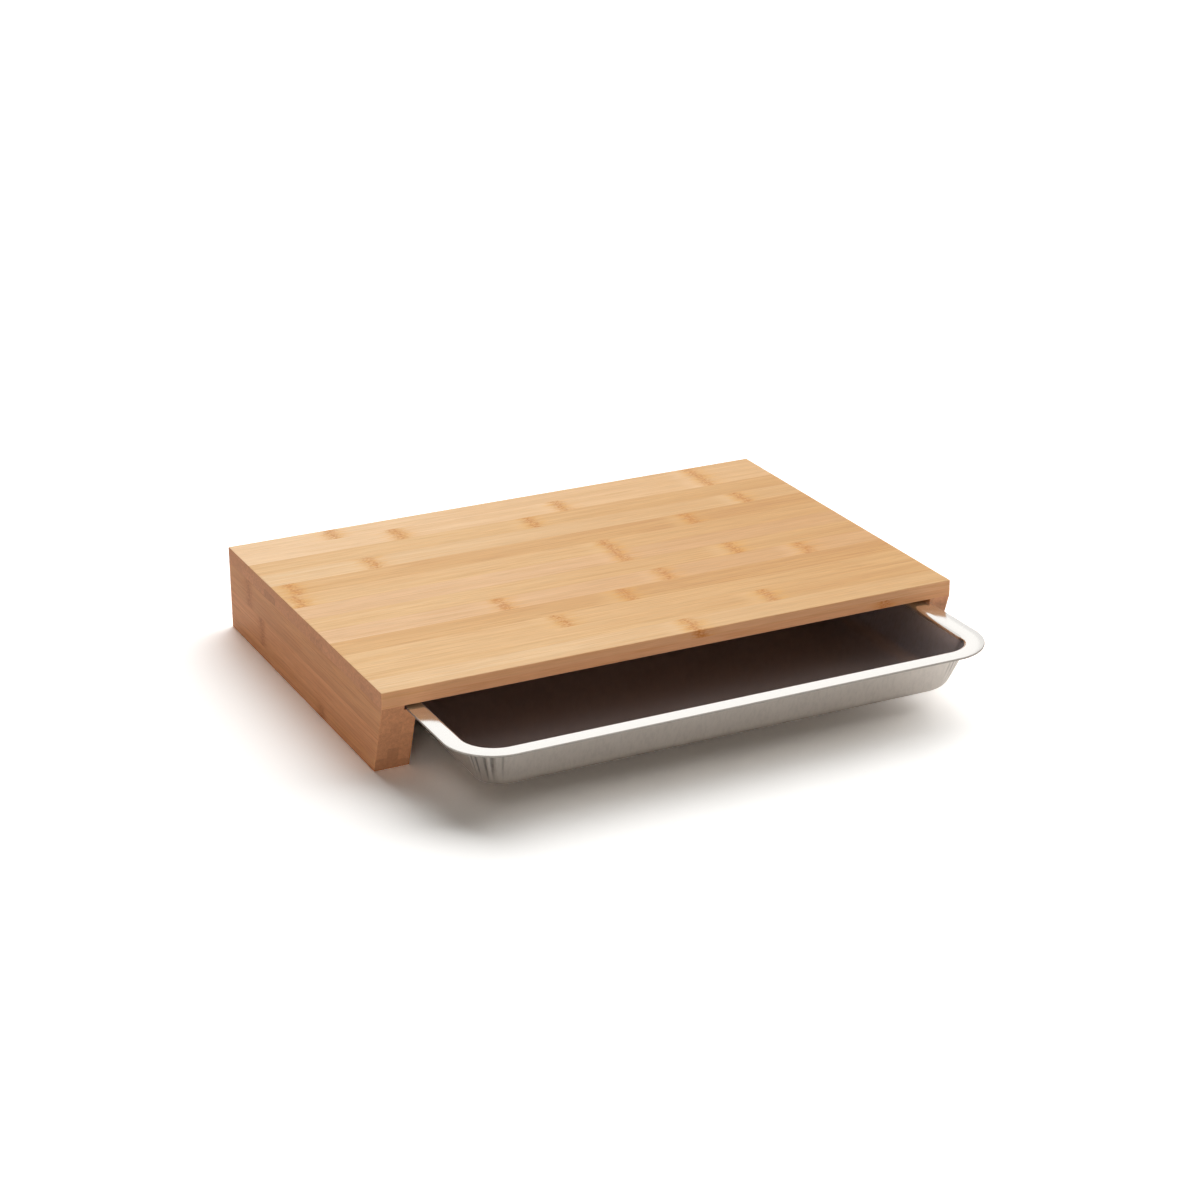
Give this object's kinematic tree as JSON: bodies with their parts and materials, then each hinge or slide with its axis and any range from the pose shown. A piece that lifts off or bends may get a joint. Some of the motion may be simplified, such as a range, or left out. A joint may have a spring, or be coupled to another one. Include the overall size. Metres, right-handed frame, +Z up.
{
  "type": "cutting board with drawer tray",
  "caption": "Bamboo cutting board on two side rails and a back rail, with a flat-rimmed steel tray that slides in grooves under the slab.",
  "frame": {"origin": "on the table, under the middle of the box round the board and its tray, which is drawn out by 82 mm", "axes": "+X to the right along the slab's long side, +Y to the back, away from the tray's front, +Z up"},
  "size_m": [0.38, 0.337, 0.055],
  "materials": {
    "top_bamboo": "sanded and oiled bamboo, satin",
    "under_bamboo": "sanded and oiled bamboo, satin",
    "rail_bamboo": "sanded and oiled bamboo, satin",
    "tray_steel": "drawn stainless sheet, satin outside, bright rim"
  },
  "bodies": {
    "board": {"back_rail_inner_strip_1": "rail_bamboo", "back_rail_inner_strip_2": "rail_bamboo", "back_rail_inner_strip_3": "rail_bamboo", "back_rail_middle_strip_1": "rail_bamboo", "back_rail_middle_strip_2": "rail_bamboo", "back_rail_middle_strip_3": "rail_bamboo", "back_rail_outer_strip_1": "rail_bamboo", "back_rail_outer_strip_2": "rail_bamboo", "back_rail_outer_strip_3": "rail_bamboo", "left_rail_inner_strip_1": "rail_bamboo", "left_rail_inner_strip_2": "rail_bamboo", "left_rail_inner_strip_3": "rail_bamboo", "left_rail_middle_strip_1": "rail_bamboo", "left_rail_middle_strip_2": "rail_bamboo", "left_rail_middle_strip_3": "rail_bamboo", "left_rail_outer_strip_1": "rail_bamboo", "left_rail_outer_strip_2": "rail_bamboo", "left_rail_outer_strip_3": "rail_bamboo", "right_rail_inner_strip_1": "rail_bamboo", "right_rail_inner_strip_2": "rail_bamboo", "right_rail_inner_strip_3": "rail_bamboo", "right_rail_middle_strip_1": "rail_bamboo", "right_rail_middle_strip_2": "rail_bamboo", "right_rail_middle_strip_3": "rail_bamboo", "right_rail_outer_strip_1": "rail_bamboo", "right_rail_outer_strip_2": "rail_bamboo", "right_rail_outer_strip_3": "rail_bamboo", "top_strip_01": "top_bamboo", "top_strip_02": "top_bamboo", "top_strip_03": "top_bamboo", "top_strip_04": "top_bamboo", "top_strip_05": "top_bamboo", "top_strip_06": "top_bamboo", "top_strip_07": "top_bamboo", "top_strip_08": "top_bamboo", "top_strip_09": "top_bamboo", "top_strip_10": "top_bamboo", "top_strip_11": "top_bamboo", "top_strip_12": "top_bamboo", "top_strip_13": "top_bamboo", "under_strip_01": "under_bamboo", "under_strip_02": "under_bamboo", "under_strip_03": "under_bamboo", "under_strip_04": "under_bamboo", "under_strip_05": "under_bamboo", "under_strip_06": "under_bamboo", "under_strip_07": "under_bamboo", "under_strip_08": "under_bamboo", "under_strip_09": "under_bamboo", "under_strip_10": "under_bamboo", "under_strip_11": "under_bamboo", "under_strip_12": "under_bamboo", "under_strip_13": "under_bamboo", "under_strip_14": "under_bamboo"},
    "tray": {"tray": "tray_steel"}
  },
  "joints": [
    {"name": "tray_slide", "type": "slide", "parent": "board", "child": "tray", "axis": [0, -1, 0], "range_m": [-0.082, 0.09]}
  ]
}
